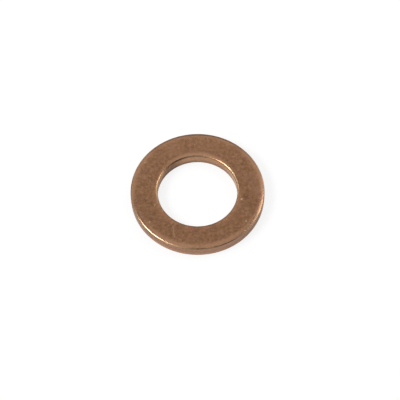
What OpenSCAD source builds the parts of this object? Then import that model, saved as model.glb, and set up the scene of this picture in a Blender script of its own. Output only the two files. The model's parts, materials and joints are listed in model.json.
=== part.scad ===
// Copper crush washer: a flat sealing ring, blanked from soft copper sheet.
// The outside and the bore are cut in one stroke from the same side, so both edges
// run through the same stages from the upper face down: a wide roll-over, a tight
// round, a burnished wall, a fracture zone that draws back, and a dulled lower edge.
// The bore dips less than the outside, and its round is fuller.
// Millimetres, +Z up. The origin is on the axis, level with the lower face.

/* [Ring] */
// Outside diameter, at the burnished wall
outer_d = 16.2; // [15:0.1:20]
// Bore diameter, at the burnished wall
bore_d = 9.6; // [8:0.1:10.5]
// Thickness of the sheet
thickness = 1.6; // [1.3:0.05:2.5]

/* [Upper edge of the outside] */
// Width of the roll-over, from the wall to the flat of the upper face
outer_roll_width = 0.95; // [0.5:0.05:1.2]
// Slope that the roll-over reaches where it meets the tight round, in degrees
outer_roll_slope = 19; // [8:1:25]
// Radius of the tight round between the roll-over and the wall
outer_edge_r = 0.23; // [0.1:0.01:0.45]

/* [Upper edge of the bore] */
// Width of the roll-over, from the wall to the flat of the upper face
bore_roll_width = 0.95; // [0.5:0.05:1.2]
// Slope that the roll-over reaches where it meets the tight round, in degrees
bore_roll_slope = 16; // [8:1:25]
// Radius of the tight round between the roll-over and the wall
bore_edge_r = 0.32; // [0.1:0.01:0.45]

/* [Lower edges] */
// Height of the fracture zone at the foot of the wall
fracture_h = 0.5; // [0.3:0.05:0.6]
// Depth that the fracture zone draws back from the wall
fracture_depth = 0.04; // [0.02:0.01:0.1]
// Radius of the dulled lower edge
lower_r = 0.08; // [0.03:0.01:0.15]

/* [Hidden] */

// Copper, browned by handling
copper = [0.6, 0.44, 0.33];

// Steps along each kind of arc in the section, and around the ring
roll_steps = 6;
edge_steps = 12;
lower_steps = 6;
ring_steps = 240;

// Points of an arc in equal steps, from one angle to another
function arc(centre, radius, from, to, steps) = [
    for (i = [0 : steps])
        let (a = from + (to - from) * i / steps)
            centre + radius * [cos(a), sin(a)]
];

// One cut edge from the upper face to the lower, as [depth behind the wall, drop below the upper face].
// The roll-over leaves the upper face level and ends at its slope, tangent to the tight round.
function cut_edge(roll_width, roll_slope, edge_r) =
    let (
        roll_r = (roll_width - edge_r * (1 - sin(roll_slope))) / sin(roll_slope),
        edge_drop = roll_r * (1 - cos(roll_slope)) + edge_r * cos(roll_slope)
    )
    concat(
        arc([roll_width, roll_r], roll_r, -90, -90 - roll_slope, roll_steps),
        arc([edge_r, edge_drop], edge_r, -90 - roll_slope, -180, edge_steps),
        [[0, thickness - fracture_h]],
        arc([fracture_depth + lower_r, thickness - lower_r], lower_r, 180, 90, lower_steps)
    );

// The whole section: down the outside and back up the bore
module section() {
    outside = cut_edge(outer_roll_width, outer_roll_slope, outer_edge_r);
    inside = cut_edge(bore_roll_width, bore_roll_slope, bore_edge_r);
    down = [for (p = outside) [outer_d / 2 - p.x, thickness - p.y]];
    up = [for (i = [len(inside) - 1 : -1 : 0]) [bore_d / 2 + inside[i].x, thickness - inside[i].y]];
    polygon(concat(down, up));
}

module copper_ring() {
    color(copper)
        rotate_extrude($fn = ring_steps)
            section();
}

copper_ring();
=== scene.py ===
# Copper crush washer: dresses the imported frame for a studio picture, in metres, +Z up
import bpy
import json
import math
from mathutils import Matrix, Vector


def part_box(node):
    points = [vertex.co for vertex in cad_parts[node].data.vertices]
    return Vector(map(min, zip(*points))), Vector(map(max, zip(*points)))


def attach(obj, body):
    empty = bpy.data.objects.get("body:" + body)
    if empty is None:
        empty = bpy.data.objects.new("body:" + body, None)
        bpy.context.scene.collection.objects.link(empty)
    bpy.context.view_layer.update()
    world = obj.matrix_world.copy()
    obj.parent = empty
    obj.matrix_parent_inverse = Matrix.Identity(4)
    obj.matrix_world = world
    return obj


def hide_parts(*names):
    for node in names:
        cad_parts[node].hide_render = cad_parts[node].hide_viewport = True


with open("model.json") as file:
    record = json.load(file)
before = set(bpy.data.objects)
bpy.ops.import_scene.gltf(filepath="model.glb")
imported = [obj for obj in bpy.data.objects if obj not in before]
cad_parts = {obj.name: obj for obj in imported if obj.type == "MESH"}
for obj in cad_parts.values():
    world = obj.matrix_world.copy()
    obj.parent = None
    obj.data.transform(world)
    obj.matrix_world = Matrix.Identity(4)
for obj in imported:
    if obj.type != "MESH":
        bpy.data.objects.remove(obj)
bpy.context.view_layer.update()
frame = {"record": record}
scene = bpy.context.scene
scene.view_settings.view_transform = "Standard"

# sizes that the frame gives
perMetre = 1000   # millimetres
ringLow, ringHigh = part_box("copper_ring")
boreMount = next(mount for mount in frame["record"]["mounts"] if mount["name"] == "bore")
outerRadius = (ringHigh.x - ringLow.x) / 2
boreRadius = boreMount["dims"]["r_mm"] / perMetre
upperFace = ringHigh.z
print("frame loaded, outside radius", round(outerRadius, 5), "bore radius", boreRadius)


# Small helpers for node trees

def fill(tree, socket, value):
    # another socket is linked, anything else is a value
    if isinstance(value, bpy.types.NodeSocket):
        tree.links.new(value, socket)
    else:
        socket.default_value = value


def addNode(tree, kind, inputs=None, **settings):
    node = tree.nodes.new(kind)
    for name, value in settings.items():
        setattr(node, name, value)
    for key, value in (inputs or {}).items():
        fill(tree, node.inputs[key], value)
    return node


def calc(tree, operation, *values):
    return addNode(tree, "ShaderNodeMath", dict(enumerate(values)), operation=operation).outputs[0]


def vectorCalc(tree, operation, *values):
    node = addNode(tree, "ShaderNodeVectorMath", dict(enumerate(values)), operation=operation)
    return node.outputs["Value" if operation == "DISTANCE" else "Vector"]


def scaled(tree, vector, factor):
    node = addNode(tree, "ShaderNodeVectorMath", {0: vector, "Scale": factor}, operation="SCALE")
    return node.outputs["Vector"]


def axisOf(tree, vector, axis):
    return addNode(tree, "ShaderNodeSeparateXYZ", {0: vector}).outputs[axis]


def remap(tree, value, low, high):
    # smooth step, 0 at low and 1 at high
    node = addNode(tree, "ShaderNodeMapRange", {0: value, 1: low, 2: high},
                   interpolation_type="SMOOTHSTEP")
    return node.outputs[0]


def noise(tree, vector, scale, detail=2, roughness=0.5):
    return addNode(tree, "ShaderNodeTexNoise", {
        "Vector": vector, "Scale": scale, "Detail": detail, "Roughness": roughness}).outputs["Fac"]


def centred(tree, value):
    # noise that swings both ways
    return calc(tree, "SUBTRACT", value, 0.5)


# Camera, at the photograph's angle

photoView = {
    "elevation": 60.19,             # degrees above the floor
    "roll": -0.43,                  # degrees
    "distance": 24,                 # in outside diameters
    "diameterPixels": 134.21,       # outside diameter in the photograph
    "facePixel": (197.55, 190.23),  # where the centre of the upper face falls
    "framePixels": 400,
    "sensor": 36,                   # mm
    "clipEnd": 10,                  # metres
}
focalPixels = photoView["diameterPixels"] * photoView["distance"]
cameraReach = photoView["distance"] * outerRadius * 2
pixelSize = outerRadius * 2 / photoView["diameterPixels"]   # metres on the upper face


def cameraAxes(view):
    tilt = math.radians(view["elevation"])
    turn = math.radians(view["roll"])
    level = Vector((1, 0, 0))
    rise = Vector((0, math.sin(tilt), math.cos(tilt)))
    right = level * math.cos(turn) + rise * math.sin(turn)
    up = rise * math.cos(turn) - level * math.sin(turn)
    return right, up, right.cross(up)


def pixelOffset(pixel, view):
    # how far a pixel lies right of and above the middle of the picture, for each unit of depth
    middle = view["framePixels"] / 2
    return (pixel[0] - middle) / focalPixels, (middle - pixel[1]) / focalPixels


def cameraPlace(view):
    right, up, back = cameraAxes(view)
    across, above = pixelOffset(view["facePixel"], view)
    return Vector((0, 0, upperFace)) + (back - right * across - up * above) * cameraReach


def onFace(pixel, view, drop=0.0):
    # the point that a pixel of the photograph shows, on the upper face or a drop below it
    right, up, back = cameraAxes(view)
    across, above = pixelOffset(pixel, view)
    eye = cameraPlace(view)
    ray = right * across + up * above - back
    return eye + ray * ((upperFace - drop - eye.z) / ray.z)


def makeCamera(view):
    data = bpy.data.cameras.new("photoCamera")
    data.sensor_width = view["sensor"]
    data.lens = focalPixels * view["sensor"] / view["framePixels"]
    data.clip_end = view["clipEnd"]
    camera = bpy.data.objects.new("photoCamera", data)
    turned = Matrix(cameraAxes(view)).transposed().to_4x4()
    camera.matrix_world = Matrix.Translation(cameraPlace(view)) @ turned
    scene.collection.objects.link(camera)
    scene.camera = camera


makeCamera(photoView)
print("camera placed")


# Copper: browned faces, fresher cut walls, rubbed edges, with painted shade and light in places

copperLook = {
    "darkBrown": (0.157, 0.077, 0.039, 1),    # oxide on the rolled faces, thick to thin
    "lightBrown": (0.305, 0.163, 0.088, 1),
    "pinkBrown": (0.228, 0.111, 0.078, 1),
    "yellowBrown": (0.210, 0.111, 0.039, 1),
    "redBrown": (0.265, 0.104, 0.062, 1),
    "paleBrown": (0.305, 0.166, 0.100, 1),    # rubbed roll-overs and thin clouds
    "outerCut": (0.324, 0.177, 0.106, 1),     # punched walls
    # the torn zone is real, its lighter outside copy is painted light and its darker bore copy painted
    # shade
    "outerTornPaintedLight": (0.470, 0.259, 0.150, 1),
    "boreCut": (0.409, 0.229, 0.129, 1),
    "boreTornPaintedShade": (0.338, 0.188, 0.105, 1),
    "wornCopper": (0.475, 0.297, 0.172, 1),   # rubbed edges and nicks
    # lighter copper laid on the outer edge's highlight: painted highlight
    "paintedHighlightCopper": (0.620, 0.420, 0.260, 1),
    "goldenCopper": (0.480, 0.300, 0.135, 1),
    "pitBrown": (0.105, 0.050, 0.030, 1),
    "faceRoughness": 0.30,
    "rollRoughness": 0.25,
    "cutRoughness": 0.30,
    "tornRoughness": 0.45,
    "wornRoughness": 0.19,
    "outerRollRub": 0.8,                      # how far the roll-overs are rubbed
    "boreRollRub": 0.2,
    "faceGrain": 5,                           # noise scales, for each millimetre
    "wallGrain": (6, 6, 0.5),                 # drawn out upwards
    "wallGrainFrom": 0.85,                    # how much of a wall it must be
    "grainDepth": 0.0000012,                  # metres
}

# oxide on the faces, layer over layer on the dark brown, each in the colour that it is named for
oxideLayers = {
    "lightBrown": {"scale": 2.6, "detail": 5, "low": 0.33, "high": 0.67, "shift": 0, "share": 1.0},
    "paleBrown": {"scale": 0.55, "detail": 2, "low": 0.40, "high": 0.70, "shift": 3, "share": 0.3},
    "redBrown": {"scale": 0.8, "detail": 3, "low": 0.48, "high": 0.72, "shift": 53, "share": 0.3},
    "pinkBrown": {"scale": 1.3, "detail": 4, "low": 0.45, "high": 0.70, "shift": 7, "share": 0.6},
    "yellowBrown": {"scale": 1.5, "detail": 4, "low": 0.46, "high": 0.70, "shift": 19, "share": 0.6},
    "pitBrown": {"scale": 4.2, "detail": 1, "low": 0.66, "high": 0.78, "shift": 37, "share": 0.6},
    "wornCopper": {"scale": 4.6, "detail": 1, "low": 0.67, "high": 0.80, "shift": 43, "share": 0.7},
}
# how uneven the rubbing and the roughness are
rubLayers = {
    "rollWear": {"scale": 0.7, "detail": 2, "low": 0.1, "high": 0.5, "shift": 0, "share": 1.0},
    "edgeWear": {"scale": 1.6, "detail": 2, "low": 0.2, "high": 0.5, "shift": 0, "share": 1.0},
    "roughness": {"scale": 2.2, "detail": 2, "low": 0.3, "high": 0.7, "shift": 11, "share": 0.07},
}

# tints, with painted shade and light among them, that the photograph shows: pixel at the level of the upper
# face, radius in pixels, colour and its share
facePatches = {
    # dark beside the right pit: painted shadow of its dent
    "paintedShadowByRightPit": {"pixel": (246.3, 196.9), "radius": 4.0, "colour": "pitBrown", "share": 0.40},
    "darkLeft": {"pixel": (141.9, 185.0), "radius": 3.2, "colour": "pitBrown", "share": 0.40},
    "darkLowerLeft": {"pixel": (142.5, 196.0), "radius": 4.5, "colour": "pitBrown", "share": 0.22},
    "darkByLeftPit": {"pixel": (151.0, 218.8), "radius": 3.0, "colour": "pitBrown", "share": 0.40},
    "darkMidLeft": {"pixel": (148.0, 206.9), "radius": 3.0, "colour": "pitBrown", "share": 0.22},
    "darkRight": {"pixel": (251.0, 204.0), "radius": 7.0, "colour": "darkBrown", "share": 0.25},
    "redBoreLeft": {"pixel": (163.0, 213.8), "radius": 4.0, "colour": "redBrown", "share": 0.6},
    "redBoreLowerLeft": {"pixel": (170.0, 219.8), "radius": 4.0, "colour": "redBrown", "share": 0.5},
    "redBoreFront": {"pixel": (192.0, 228.6), "radius": 6.0, "colour": "redBrown", "share": 0.5},
    "darkBoreFrontLeft": {"pixel": (181.0, 225.2), "radius": 7.0, "colour": "pitBrown", "share": 0.3},
    "darkBoreFront": {"pixel": (197.0, 227.6), "radius": 7.0, "colour": "pitBrown", "share": 0.3},
    "darkBoreFrontRight": {"pixel": (213.0, 225.6), "radius": 7.0, "colour": "pitBrown", "share": 0.3},
    "redBoreRight": {"pixel": (225.6, 222.5), "radius": 3.5, "colour": "redBrown", "share": 0.4},
    "redUpperRight": {"pixel": (239.4, 171.9), "radius": 3.0, "colour": "redBrown", "share": 0.5},
    "pinkUpperLeft": {"pixel": (144.8, 162.4), "radius": 2.6, "colour": "paleBrown", "share": 0.8},
    "paleLeft": {"pixel": (142.0, 176.5), "radius": 5.0, "colour": "paleBrown", "share": 0.35},
    "paleBackLeft": {"pixel": (172.0, 150.0), "radius": 16.0, "colour": "paleBrown", "share": 0.25},
    "dullBackLeft": {"pixel": (156.0, 148.0), "radius": 9.0, "colour": "darkBrown", "share": 0.35},
    "dullBackRight": {"pixel": (238.0, 148.0), "radius": 9.0, "colour": "darkBrown", "share": 0.35},
    "paleRight": {"pixel": (258.5, 191.0), "radius": 8.0, "colour": "paleBrown", "share": 0.5},
    "paleBack": {"pixel": (206.0, 146.0), "radius": 16.0, "colour": "paleBrown", "share": 0.20},
}
# painted shade and painted light on the cut walls, where the lamps leave a wall too bright or too dark
paintedShadeAndLightOnWalls = {
    # darker bore wall at ten to eleven o'clock: painted shade, the mirrored shadow on the floor inside the
    # bore
    "paintedShadeBoreLeft": {"pixel": (171.5, 165.5), "radius": 18.0, "colour": "darkBrown", "share": 0.75},
    # darker outer edge and wall at the left: painted shade over what the left lamps light there
    "paintedShadeOuterLeft": {"pixel": (131.0, 196.0), "radius": 38.0, "colour": "darkBrown", "share": 0.75},
    # lighter bore wall on the right: painted light, the mirrored floor lit by the key
    "paintedLightBoreRight": {"pixel": (233.0, 174.0), "radius": 17.0, "colour": "wornCopper", "share": 0.9},
    # darker outer wall below the left highlight: painted shade
    "paintedShadeOuterFrontLeft": {"pixel": (141.5, 225.0), "radius": 24.0, "colour": "darkBrown", "share": 0.45},
}
# on the rubbed edges: a golden tint, and painted highlight, painted shade and a painted dark reflection
edgeTintsAndPaintedLight = {
    # brighter copper on the outer edge's highlight at half past seven: painted highlight
    "paintedHighlightOuterLeft": {"pixel": (145.5, 228.0), "radius": 22.0, "colour": "paintedHighlightCopper", "share": 0.8},
    "goldenBoreLeft": {"pixel": (157.5, 188.0), "radius": 20.0, "colour": "goldenCopper", "share": 0.8},
    # browner bore edge at one to half past one: painted shade that dims the highlight there
    "paintedShadeBoreBackRight": {"pixel": (219.0, 160.5), "radius": 20.0, "colour": "lightBrown", "share": 1.0},
    # darker bore edge at eleven o'clock: painted dark reflection that deepens the dark line
    "paintedDarkReflectionBoreBackLeft": {"pixel": (179.0, 157.0), "radius": 12.0, "colour": "pitBrown", "share": 0.4},
}
boreRub = {"pixel": (196.0, 154.0), "radius": 40.0, "share": 0.65}   # more rub at the back of the bore
patchCore = 0.2   # share of a tint's radius where it is full

mottleInputs = ("Scale", "Detail", "Low", "High", "Share")
zoneNames = ("rollWear", "cutWall", "boreSide", "fracture", "edgeWear", "nick")   # kept on the ring's mesh


def makeMottle():
    # one soft noise mask, for oxide, rubbing and roughness
    tree = bpy.data.node_groups.new("oxideMottle", "ShaderNodeTree")
    tree.interface.new_socket("Vector", in_out="INPUT", socket_type="NodeSocketVector")
    for name in mottleInputs:
        tree.interface.new_socket(name, in_out="INPUT", socket_type="NodeSocketFloat")
    tree.interface.new_socket("Mask", in_out="OUTPUT", socket_type="NodeSocketFloat")
    given = tree.nodes.new("NodeGroupInput").outputs
    cloud = noise(tree, given["Vector"], given["Scale"], given["Detail"], roughness=0.75)
    mask = remap(tree, cloud, given["Low"], given["High"])
    addNode(tree, "NodeGroupOutput", {"Mask": calc(tree, "MULTIPLY", mask, given["Share"])})
    return tree


oxideMottle = makeMottle()


def mottle(tree, place, layer):
    values = {name: layer[name.lower()] for name in mottleInputs}
    values["Vector"] = vectorCalc(tree, "ADD", place, [layer["shift"]] * 3)
    return addNode(tree, "ShaderNodeGroup", values, node_tree=oxideMottle).outputs["Mask"]


def blend(tree, mask, under, over):
    # by number, because the sockets for colours and for values share their names
    return addNode(tree, "ShaderNodeMix", {0: mask, 6: under, 7: over}, data_type="RGBA").outputs[2]


def blendValue(tree, mask, under, over):
    return addNode(tree, "ShaderNodeMix", {0: mask, 2: under, 3: over}, data_type="FLOAT").outputs[0]


def surfaceMask(tree, name):
    return addNode(tree, "ShaderNodeAttribute", attribute_name=name).outputs["Fac"]


def patchMask(tree, place, patch):
    centre = onFace(patch["pixel"], photoView) * perMetre
    radius = patch["radius"] * pixelSize * perMetre
    fade = remap(tree, vectorCalc(tree, "DISTANCE", place, centre), radius, radius * patchCore)
    return calc(tree, "MULTIPLY", fade, patch["share"])


def addPatches(tree, place, colour, patches, look):
    for patch in patches.values():
        colour = blend(tree, patchMask(tree, place, patch), colour, look[patch["colour"]])
    return colour


def oxideColour(tree, place, look):
    colour = look["darkBrown"]
    for name, layer in oxideLayers.items():
        colour = blend(tree, mottle(tree, place, layer), colour, look[name])
    return colour


def faceColour(tree, place, zone, look):
    # oxide, rubbed paler on the roll-overs, with its tints
    boreShare = calc(tree, "ADD", patchMask(tree, place, boreRub), look["boreRollRub"])
    share = blendValue(tree, zone["boreSide"], look["outerRollRub"], boreShare)
    thinned = calc(tree, "MULTIPLY", zone["rollWear"], share)
    thinned = calc(tree, "MULTIPLY", thinned, mottle(tree, place, rubLayers["rollWear"]))
    colour = blend(tree, thinned, oxideColour(tree, place, look), look["paleBrown"])
    return addPatches(tree, place, colour, facePatches, look)


def wallColour(tree, zone, look):
    cut = blend(tree, zone["boreSide"], look["outerCut"], look["boreCut"])
    # torn zone: painted light on the outside, painted shade in the bore
    torn = blend(tree, zone["boreSide"], look["outerTornPaintedLight"], look["boreTornPaintedShade"])
    return blend(tree, zone["fracture"], cut, torn)


def copperRoughness(tree, place, zone, worn, look):
    masks = {"rollRoughness": zone["rollWear"], "cutRoughness": zone["cutWall"],
             "tornRoughness": zone["fracture"], "wornRoughness": worn}
    rough = look["faceRoughness"]
    for name, mask in masks.items():
        rough = blendValue(tree, mask, rough, look[name])
    return calc(tree, "ADD", rough, mottle(tree, place, rubLayers["roughness"]))


def copperGrain(tree, place, zone, look):
    # fine grain on the faces, upright drag lines on the cut walls
    grain = noise(tree, place, look["faceGrain"], detail=3)
    drawn = addNode(tree, "ShaderNodeMapping", {"Vector": place, "Scale": look["wallGrain"]}).outputs[0]
    wallOnly = remap(tree, zone["cutWall"], look["wallGrainFrom"], 1.0)
    height = blendValue(tree, wallOnly, grain, noise(tree, drawn, scale=1))
    bump = addNode(tree, "ShaderNodeBump", {"Height": height, "Distance": look["grainDepth"]})
    return bump.outputs[0]


def makeCopper(look):
    material = bpy.data.materials.new("brownedCopper")
    material.use_nodes = True
    tree = material.node_tree
    shader = tree.nodes["Principled BSDF"]
    place = scaled(tree, addNode(tree, "ShaderNodeTexCoord").outputs["Object"], perMetre)   # millimetres
    zone = {name: surfaceMask(tree, name) for name in zoneNames}

    # faces and walls, bright edges and nicks over both, then the painted shade and light of walls, and the
    # tints and painted highlight and shade of edges
    face = faceColour(tree, place, zone, look)
    colour = blend(tree, zone["cutWall"], face, wallColour(tree, zone, look))
    rubbed = mottle(tree, place, rubLayers["edgeWear"])
    worn = calc(tree, "MAXIMUM", calc(tree, "MULTIPLY", zone["edgeWear"], rubbed), zone["nick"])
    colour = blend(tree, worn, colour, look["wornCopper"])
    wallOrEdge = calc(tree, "MAXIMUM", zone["cutWall"], zone["edgeWear"])
    colour = blend(tree, wallOrEdge, colour, addPatches(tree, place, colour, paintedShadeAndLightOnWalls, look))
    colour = blend(tree, zone["edgeWear"], colour, addPatches(tree, place, colour, edgeTintsAndPaintedLight, look))

    fill(tree, shader.inputs["Base Color"], colour)
    fill(tree, shader.inputs["Metallic"], 1)
    fill(tree, shader.inputs["Roughness"], copperRoughness(tree, place, zone, worn, look))
    fill(tree, shader.inputs["Normal"], copperGrain(tree, place, zone, look))
    return material


copper = makeCopper(copperLook)
print("copper made")


# Ring: one blanked section, swept round the axis

edgeShape = {
    "Outer Radius": outerRadius,
    "Bore Radius": boreRadius,
    "Thickness": upperFace,
    "Outer Roll Width": 0.00095,            # from the wall to the flat of the upper face
    "Outer Roll Slope": math.radians(19),
    "Outer Edge Radius": 0.00023,           # tight round between roll-over and wall
    "Bore Roll Width": 0.00095,
    "Bore Roll Slope": math.radians(16),
    "Bore Edge Radius": 0.00032,
    "Fracture Height": 0.0005,
    "Fracture Depth": 0.00004,
    "Fracture Ripple": 0.00025,             # full swing of the fracture's upper line
    "Lower Radius": 0.00008,
    "Section Step": 0.00008,                # longest edge across the section
    "Wave Depth": 0.000006,                 # slow unevenness of soft sheet
    "Dent Depth": 0.000020,                 # full swing of the knocks along the upper edges
    "Streak Depth": 0.000010,               # upright tearing of the fracture zone
    "Nick Density": 180000.0,               # handling nicks for each square metre
    "Nick Depth": 0.000008,
    "Nick Radius": 0.00012,
    "Nick Shine": 0.8,
}
ringDetail = {
    "ringSteps": 600,
    "rollSteps": 10,            # along each round of the section
    "edgeSteps": 14,
    "lowerSteps": 6,
    "mergeDistance": 1e-6,
    "waveScale": 500,           # noise scales, for each metre
    "rippleScale": 900,
    "dentScale": 1700,
    "tearScale": 3500,
    "tearStretch": 0.15,        # how little the tearing changes with height
    "nickSeed": 4,
    "smallestNick": 0.35,       # as a share of the largest
    "scratchStep": 0.3,         # pixels between the points of a scratch
}
# where each zone starts and where it is full, by how far the surface faces up: 1 is level, 0 a wall
zoneLimits = {
    "cutWall": (0.25, 0.85),    # by how upright it is: 0 is level, 1 a wall
    "rollWear": (0.9995, 0.975),
    "edgeTop": (0.955, 0.90),
    "edgeFoot": (0.45, 0.75),
}
fractureFade = 1.15   # where the fracture zone starts, as a share of its height
nickValues = ("Radius", "Depth", "Shine")

# marks that the photograph shows on the upper face: pixel, radius in pixels, depth in metres
# and how bright it is, with the drop below the face of one on a rolled edge and the far end of a scratch
# each pit's shine lightens it to rubbed copper: partly real fresh copper, partly a painted glint
faceMarks = {
    "rightPit": {"pixel": (241.4, 198.7), "radius": 1.8, "depth": 0.000022, "shine": 1.4},
    "leftPit": {"pixel": (149.5, 222.0), "radius": 1.4, "depth": 0.000016, "shine": 1.1},
    "lowerRightPit": {"pixel": (246.0, 221.4), "radius": 1.6, "depth": 0.000018, "shine": 1.2},
    "edgePit": {"pixel": (245.5, 230.0), "radius": 1.6, "depth": 0.000016, "shine": 0.9,
                "drop": 0.000135},
    "upperLeftPit": {"pixel": (144.8, 162.4), "radius": 1.2, "depth": 0.000010, "shine": 0.6},
    "boreLeftPit": {"pixel": (154.8, 204.7), "radius": 1.3, "depth": 0.000014, "shine": 0.8},
    "farLeftPit": {"pixel": (137.5, 210.6), "radius": 1.3, "depth": 0.000014, "shine": 0.7,
                   "drop": 0.000078},
    "boreRightPit": {"pixel": (238.4, 192.5), "radius": 0.9, "depth": 0.000010, "shine": 0.28,
                     "end": (241.0, 192.4)},
    "frontScratch": {"pixel": (173.0, 225.5), "radius": 1.0, "depth": 0.000007, "shine": 0.42,
                     "end": (174.4, 237.0)},
}


def edgeCorners(tree, size, side):
    # the four corners of one cut edge from the upper face down, and the round on each of them
    slope, roll, edge = [size[side + name] for name in (" Roll Slope", " Roll Width", " Edge Radius")]
    sine = calc(tree, "SINE", slope)
    spare = calc(tree, "MULTIPLY", edge, calc(tree, "SUBTRACT", 1.0, sine))
    rollRadius = calc(tree, "DIVIDE", calc(tree, "SUBTRACT", roll, spare), sine)
    halfTurn = calc(tree, "TANGENT", calc(tree, "DIVIDE", slope, 2.0))
    rollDepth = calc(tree, "SUBTRACT", roll, calc(tree, "MULTIPLY", rollRadius, halfTurn))
    edgeHeight = calc(tree, "SUBTRACT", size["Thickness"],
                      calc(tree, "MULTIPLY", rollDepth, calc(tree, "TANGENT", slope)))
    places = [(rollDepth, size["Thickness"]), (0.0, edgeHeight), (0.0, size["Fracture Height"]),
              (size["Fracture Depth"], 0.0)]
    behind = "SUBTRACT" if side == "Outer" else "ADD"
    corners = [addNode(tree, "ShaderNodeCombineXYZ", {
        "X": calc(tree, behind, size[side + " Radius"], depth), "Y": height}).outputs[0]
        for depth, height in places]
    return corners, [rollRadius, edge, 0.0, size["Lower Radius"]]


def pickByIndex(tree, kind, values):
    switch = addNode(tree, "GeometryNodeIndexSwitch", data_type=kind)
    while len(switch.index_switch_items) < len(values):
        switch.index_switch_items.new()
    fill(tree, switch.inputs["Index"], addNode(tree, "GeometryNodeInputIndex").outputs[0])
    for place, value in enumerate(values):
        fill(tree, switch.inputs[place + 1], value)
    return switch.outputs[0]


def position(tree):
    return addNode(tree, "GeometryNodeInputPosition").outputs[0]


def surfaceNormal(tree):
    return addNode(tree, "GeometryNodeInputNormal").outputs[0]


def keep(tree, geometry, name, kind, value):
    return addNode(tree, "GeometryNodeStoreNamedAttribute", {
        "Geometry": geometry, "Name": name, "Value": value}, data_type=kind, domain="POINT").outputs[0]


def kept(tree, name, kind):
    return addNode(tree, "GeometryNodeInputNamedAttribute", {"Name": name}, data_type=kind).outputs[0]


def sectionCurve(tree, size):
    # down the outside and back up the bore, then rounded and divided
    outerCorners, outerRounds = edgeCorners(tree, size, "Outer")
    boreCorners, boreRounds = edgeCorners(tree, size, "Bore")
    corners = outerCorners + boreCorners[::-1]
    rounds = outerRounds + boreRounds[::-1]
    counts = [ringDetail["rollSteps"], ringDetail["edgeSteps"], 1, ringDetail["lowerSteps"]]
    counts += counts[::-1]
    line = addNode(tree, "GeometryNodeMeshLine", {"Count": len(corners)}).outputs[0]
    line = addNode(tree, "GeometryNodeSetPosition", {
        "Geometry": line, "Position": pickByIndex(tree, "VECTOR", corners)}).outputs[0]
    loop = addNode(tree, "GeometryNodeMeshToCurve", {"Mesh": line}).outputs[0]
    loop = addNode(tree, "GeometryNodeSetSplineCyclic", {"Geometry": loop, "Cyclic": True}).outputs[0]
    loop = addNode(tree, "GeometryNodeFilletCurve", {
        "Curve": loop,
        "Radius": pickByIndex(tree, "FLOAT", rounds),
        "Count": pickByIndex(tree, "INT", counts)}, mode="POLY").outputs[0]
    here = position(tree)
    following = addNode(tree, "GeometryNodeOffsetPointInCurve", {"Offset": 1}).outputs["Point Index"]
    there = addNode(tree, "GeometryNodeFieldAtIndex", {
        "Index": following, "Value": here}, data_type="FLOAT_VECTOR", domain="POINT").outputs[0]
    gap = vectorCalc(tree, "DISTANCE", here, there)
    cuts = calc(tree, "FLOOR", calc(tree, "DIVIDE", gap, size["Section Step"]))
    return addNode(tree, "GeometryNodeSubdivideCurve", {"Curve": loop, "Cuts": cuts}).outputs[0]


def sweepSection(tree, section):
    steps = ringDetail["ringSteps"]
    section = keep(tree, section, "sectionPlace", "FLOAT_VECTOR", position(tree))
    rail = addNode(tree, "GeometryNodeCurvePrimitiveCircle", {"Resolution": steps}).outputs[0]
    index = addNode(tree, "GeometryNodeInputIndex").outputs[0]
    rail = keep(tree, rail, "ringTurn", "FLOAT", calc(tree, "MULTIPLY", index, math.tau / steps))
    swept = addNode(tree, "GeometryNodeCurveToMesh", {
        "Curve": rail, "Profile Curve": section}).outputs[0]
    place = kept(tree, "sectionPlace", "FLOAT_VECTOR")
    reach = axisOf(tree, place, "X")
    turn = kept(tree, "ringTurn", "FLOAT")
    spot = addNode(tree, "ShaderNodeCombineXYZ", {
        "X": calc(tree, "MULTIPLY", reach, calc(tree, "COSINE", turn)),
        "Y": calc(tree, "MULTIPLY", reach, calc(tree, "SINE", turn)),
        "Z": axisOf(tree, place, "Y")}).outputs[0]
    swept = addNode(tree, "GeometryNodeSetPosition", {"Geometry": swept, "Position": spot}).outputs[0]
    return addNode(tree, "GeometryNodeMergeByDistance", {
        "Geometry": swept, "Distance": ringDetail["mergeDistance"]}).outputs[0]


def fractureShare(tree, size):
    # 1 below the fracture's upper line, which wanders as it runs round
    place = position(tree)
    level = vectorCalc(tree, "MULTIPLY", place, (1, 1, 0))
    wander = centred(tree, noise(tree, level, ringDetail["rippleScale"]))
    wavy = calc(tree, "ADD", axisOf(tree, place, "Z"),
                calc(tree, "MULTIPLY", wander, size["Fracture Ripple"]))
    start = calc(tree, "MULTIPLY", size["Fracture Height"], fractureFade)
    return remap(tree, wavy, start, size["Fracture Height"])


def storeZones(tree, ring, size):
    # how far the surface faces up tells the walls, rounds and roll-overs apart
    facing = axisOf(tree, surfaceNormal(tree), "Z")
    upright = calc(tree, "SUBTRACT", 1.0, calc(tree, "ABSOLUTE", facing))
    cutWall = remap(tree, upright, *zoneLimits["cutWall"])
    reach = axisOf(tree, kept(tree, "sectionPlace", "FLOAT_VECTOR"), "X")
    middle = calc(tree, "DIVIDE", calc(tree, "ADD", size["Outer Radius"], size["Bore Radius"]), 2.0)
    dipping = remap(tree, facing, *zoneLimits["rollWear"])
    fromTop, toFoot = [remap(tree, facing, *zoneLimits[name]) for name in ("edgeTop", "edgeFoot")]
    masks = {
        "cutWall": cutWall,
        "boreSide": calc(tree, "LESS_THAN", reach, middle),
        "rollWear": calc(tree, "MULTIPLY", dipping, calc(tree, "GREATER_THAN", facing, 0.0)),
        "edgeWear": calc(tree, "MULTIPLY", fromTop, toFoot),
        "fracture": calc(tree, "MULTIPLY", fractureShare(tree, size), cutWall),
    }
    for name, mask in masks.items():
        ring = keep(tree, ring, name, "FLOAT", mask)
    return ring


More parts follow.
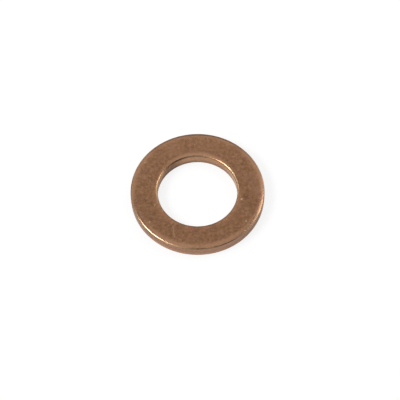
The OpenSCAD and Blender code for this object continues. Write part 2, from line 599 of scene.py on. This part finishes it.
def pressIn(tree, ring, depth):
    offset = scaled(tree, surfaceNormal(tree), calc(tree, "MULTIPLY", depth, -1.0))
    return addNode(tree, "GeometryNodeSetPosition", {"Geometry": ring, "Offset": offset}).outputs[0]


def unevenness(tree, size):
    # all of it presses in, but for the knocks, which swing both ways on the rounds alone, inside the box
    place = position(tree)
    wave = calc(tree, "MULTIPLY", noise(tree, place, ringDetail["waveScale"], detail=1), size["Wave Depth"])
    knock = centred(tree, noise(tree, place, ringDetail["dentScale"]))
    dent = calc(tree, "MULTIPLY", calc(tree, "MULTIPLY", knock, size["Dent Depth"]),
                kept(tree, "edgeWear", "FLOAT"))
    upright = vectorCalc(tree, "MULTIPLY", place, (1, 1, ringDetail["tearStretch"]))
    tear = calc(tree, "MULTIPLY", noise(tree, upright, ringDetail["tearScale"]), size["Streak Depth"])
    torn = calc(tree, "MULTIPLY", tear, kept(tree, "fracture", "FLOAT"))
    return calc(tree, "ADD", calc(tree, "ADD", wave, dent), torn)


def nickPoints(tree, ring, marks, size):
    # scattered handling nicks, with the photograph's own marks among them
    seed = ringDetail["nickSeed"]
    scatter = addNode(tree, "GeometryNodeDistributePointsOnFaces", {
        "Mesh": ring, "Density": size["Nick Density"], "Seed": seed}).outputs["Points"]
    share = addNode(tree, "FunctionNodeRandomValue", {
        2: ringDetail["smallestNick"], 3: 1.0, "Seed": seed}).outputs[1]
    for name in nickValues:
        value = calc(tree, "MULTIPLY", share, size["Nick " + name])
        scatter = keep(tree, scatter, "nick" + name, "FLOAT", value)
    marks = addNode(tree, "GeometryNodeMeshToPoints", {"Mesh": marks}).outputs[0]
    joined = addNode(tree, "GeometryNodeJoinGeometry")
    for points in (scatter, marks):
        tree.links.new(points, joined.inputs[0])
    return joined.outputs[0]


def pressNicks(tree, ring, points):
    place = position(tree)
    nearest = addNode(tree, "GeometryNodeSampleNearest", {
        "Geometry": points, "Sample Position": place}, domain="POINT").outputs[0]

    def atNearest(kind, value):
        return addNode(tree, "GeometryNodeSampleIndex", {
            "Geometry": points, "Value": value, "Index": nearest},
            data_type=kind, domain="POINT").outputs[0]

    centre = atNearest("FLOAT_VECTOR", place)
    radius, depth, shine = [
        atNearest("FLOAT", kept(tree, "nick" + name, "FLOAT")) for name in nickValues]
    share = calc(tree, "DIVIDE", vectorCalc(tree, "DISTANCE", place, centre), radius)
    ring = keep(tree, ring, "bowl", "FLOAT", remap(tree, share, 1.0, 0.0))
    bowl = kept(tree, "bowl", "FLOAT")
    ring = keep(tree, ring, "nick", "FLOAT", calc(tree, "MULTIPLY", bowl, shine))
    return pressIn(tree, ring, calc(tree, "MULTIPLY", bowl, depth))


def buildRingTree(shape, material):
    tree = bpy.data.node_groups.new("washerRing", "GeometryNodeTree")
    tree.is_modifier = True
    tree.interface.new_socket("Geometry", in_out="INPUT", socket_type="NodeSocketGeometry")
    sockets = {name: tree.interface.new_socket(name, in_out="INPUT", socket_type="NodeSocketFloat")
               for name in shape}
    tree.interface.new_socket("Geometry", in_out="OUTPUT", socket_type="NodeSocketGeometry")
    size = {socket.name: socket for socket in tree.nodes.new("NodeGroupInput").outputs}
    ring = sweepSection(tree, sectionCurve(tree, size))
    ring = storeZones(tree, ring, size)
    points = nickPoints(tree, ring, size["Geometry"], size)
    ring = pressIn(tree, ring, unevenness(tree, size))
    ring = pressNicks(tree, ring, points)
    ring = addNode(tree, "GeometryNodeSetShadeSmooth", {
        "Geometry": ring, "Shade Smooth": True}).outputs[0]
    ring = addNode(tree, "GeometryNodeRealizeInstances", {"Geometry": ring}).outputs[0]
    ring = addNode(tree, "GeometryNodeSetMaterial", {"Geometry": ring, "Material": material}).outputs[0]
    addNode(tree, "NodeGroupOutput", {0: ring})
    return tree, sockets


def markMesh(marks, view):
    # loose points with their sizes, one for a pit and a row for a scratch
    spots = []
    for mark in marks.values():
        start, end = Vector(mark["pixel"]), Vector(mark.get("end", mark["pixel"]))
        steps = math.ceil((end - start).length / ringDetail["scratchStep"])
        spots += [(start.lerp(end, step / max(steps, 1)), mark) for step in range(steps + 1)]
    mesh = bpy.data.meshes.new("faceMarks")
    mesh.from_pydata([onFace(pixel, view, mark.get("drop", 0.0)) for pixel, mark in spots], [], [])
    for name in nickValues:
        unit = pixelSize if name == "Radius" else 1
        values = mesh.attributes.new("nick" + name, "FLOAT", "POINT").data
        values.foreach_set("value", [mark[name.lower()] * unit for pixel, mark in spots])
    return mesh


def makeRing(shape, material):
    tree, sockets = buildRingTree(shape, material)
    ring = bpy.data.objects.new("washerRing", markMesh(faceMarks, photoView))
    scene.collection.objects.link(ring)
    modifier = ring.modifiers.new("washerRing", "NODES")
    modifier.node_group = tree
    for name, value in shape.items():
        modifier[sockets[name].identifier] = value
    depsgraph = bpy.context.evaluated_depsgraph_get()
    plain = bpy.data.meshes.new_from_object(
        ring.evaluated_get(depsgraph), preserve_all_data_layers=True, depsgraph=depsgraph)
    ring.modifiers.clear()
    ring.data = plain
    return ring


washer = makeRing(edgeShape, copper)
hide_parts("copper_ring")
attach(washer, "root")
print("ring made,", len(washer.data.polygons), "faces")


# Floor and light

floorLook = {
    "halfSize": 0.6,
    "paper": (0.8, 0.8, 0.8, 1),
    "shadowSeen": 0.2,       # how much of the white in the picture the washer can shade
    "shadowMirrored": 1.0,   # and of the white that the copper mirrors
}


def makeFloor(look):
    half = look["halfSize"]
    mesh = bpy.data.meshes.new("paperFloor")
    corners = [(-half, -half, 0), (half, -half, 0), (half, half, 0), (-half, half, 0)]
    mesh.from_pydata(corners, [], [(0, 1, 2, 3)])
    floor = bpy.data.objects.new("paperFloor", mesh)
    scene.collection.objects.link(floor)
    material = bpy.data.materials.new("whitePaper")
    material.use_nodes = True
    tree = material.node_tree
    tree.nodes.clear()
    paper = addNode(tree, "ShaderNodeBsdfDiffuse", {"Color": look["paper"]}).outputs[0]
    white = addNode(tree, "ShaderNodeEmission", {"Color": (1, 1, 1, 1), "Strength": 1.0}).outputs[0]
    path = addNode(tree, "ShaderNodeLightPath").outputs
    mirrored = calc(tree, "MAXIMUM", path["Is Glossy Ray"], path["Is Transmission Ray"])
    whiteShare = calc(tree, "ADD", calc(tree, "MULTIPLY", path["Is Camera Ray"], 1 - look["shadowSeen"]),
                      calc(tree, "MULTIPLY", mirrored, 1 - look["shadowMirrored"]))
    surface = addNode(tree, "ShaderNodeMixShader", {0: whiteShare, 1: paper, 2: white}).outputs[0]
    addNode(tree, "ShaderNodeOutputMaterial", {"Surface": surface})
    mesh.materials.append(material)


worldLook = {"ambient": (0.18, 0.18, 0.18, 1)}


def makeWorld(look):
    world = bpy.data.worlds.new("studioWorld")
    scene.world = world
    world.use_nodes = True
    tree = world.node_tree
    tree.nodes.clear()
    ambient = addNode(tree, "ShaderNodeBackground", {"Color": look["ambient"]}).outputs[0]
    white = addNode(tree, "ShaderNodeBackground", {"Color": (1, 1, 1, 1)}).outputs[0]
    camera = addNode(tree, "ShaderNodeLightPath").outputs["Is Camera Ray"]
    surface = addNode(tree, "ShaderNodeMixShader", {0: camera, 1: ambient, 2: white}).outputs[0]
    addNode(tree, "ShaderNodeOutputWorld", {"Surface": surface})


# turn is from the right hand towards the back, and all angles are in degrees as seen from the washer;
# radiance is the brightness of the lamp's own face, where 1 is white, and reach is in metres
lamps = {
    "keySoftbox": {"turn": 199, "elevation": 45, "wide": 28, "high": 19, "reach": 0.3, "radiance": 14.5},
    "leftPanel": {"turn": 208, "elevation": 17, "wide": 66, "high": 24, "reach": 0.3, "radiance": 0.9},
    "leftBackPanel": {"turn": 160, "elevation": 27, "wide": 26, "high": 42, "reach": 0.3, "radiance": 1.2},
    "leftFill": {"turn": 230, "elevation": 42, "wide": 34, "high": 50, "reach": 0.3, "radiance": 0.5},
    "rimSoftbox": {"turn": 25, "elevation": 46, "wide": 17, "high": 14, "reach": 0.3, "radiance": 7.0},
    "rightPanel": {"turn": 15, "elevation": 14, "wide": 56, "high": 18, "reach": 0.3, "radiance": 1.4},
    "rightFill": {"turn": 348, "elevation": 36, "wide": 30, "high": 46, "reach": 0.3, "radiance": 0.5},
    "topPanel": {"turn": 90, "elevation": 88, "wide": 50, "high": 40, "reach": 0.1, "radiance": 1.05},
    "backPanel": {"turn": 91, "elevation": 44, "wide": 90, "high": 34, "reach": 0.1, "radiance": 1.1},
    "frontFill": {"turn": 266, "elevation": 26, "wide": 56, "high": 34, "reach": 0.3, "radiance": 0.36},
    "frontStrip": {"turn": 285, "elevation": 6, "wide": 100, "high": 10, "reach": 0.3, "radiance": 0.3},
}


def makeLamp(name, lamp):
    data = bpy.data.lights.new(name, "AREA")
    data.shape = "RECTANGLE"
    data.size, data.size_y = [
        2 * lamp["reach"] * math.tan(math.radians(lamp[side] / 2)) for side in ("wide", "high")]
    data.energy = lamp["radiance"] * math.pi * data.size * data.size_y
    turn, lift = math.radians(lamp["turn"]), math.radians(lamp["elevation"])
    toward = Vector((math.cos(turn) * math.cos(lift), math.sin(turn) * math.cos(lift), math.sin(lift)))
    lampObject = bpy.data.objects.new(name, data)
    lampObject.location = toward * lamp["reach"]
    lampObject.rotation_euler = toward.to_track_quat("Z", "Y").to_euler()
    lampObject.visible_camera = False
    scene.collection.objects.link(lampObject)


makeFloor(floorLook)
makeWorld(worldLook)
for lampName, lampLook in lamps.items():
    makeLamp(lampName, lampLook)
print("floor and light made")
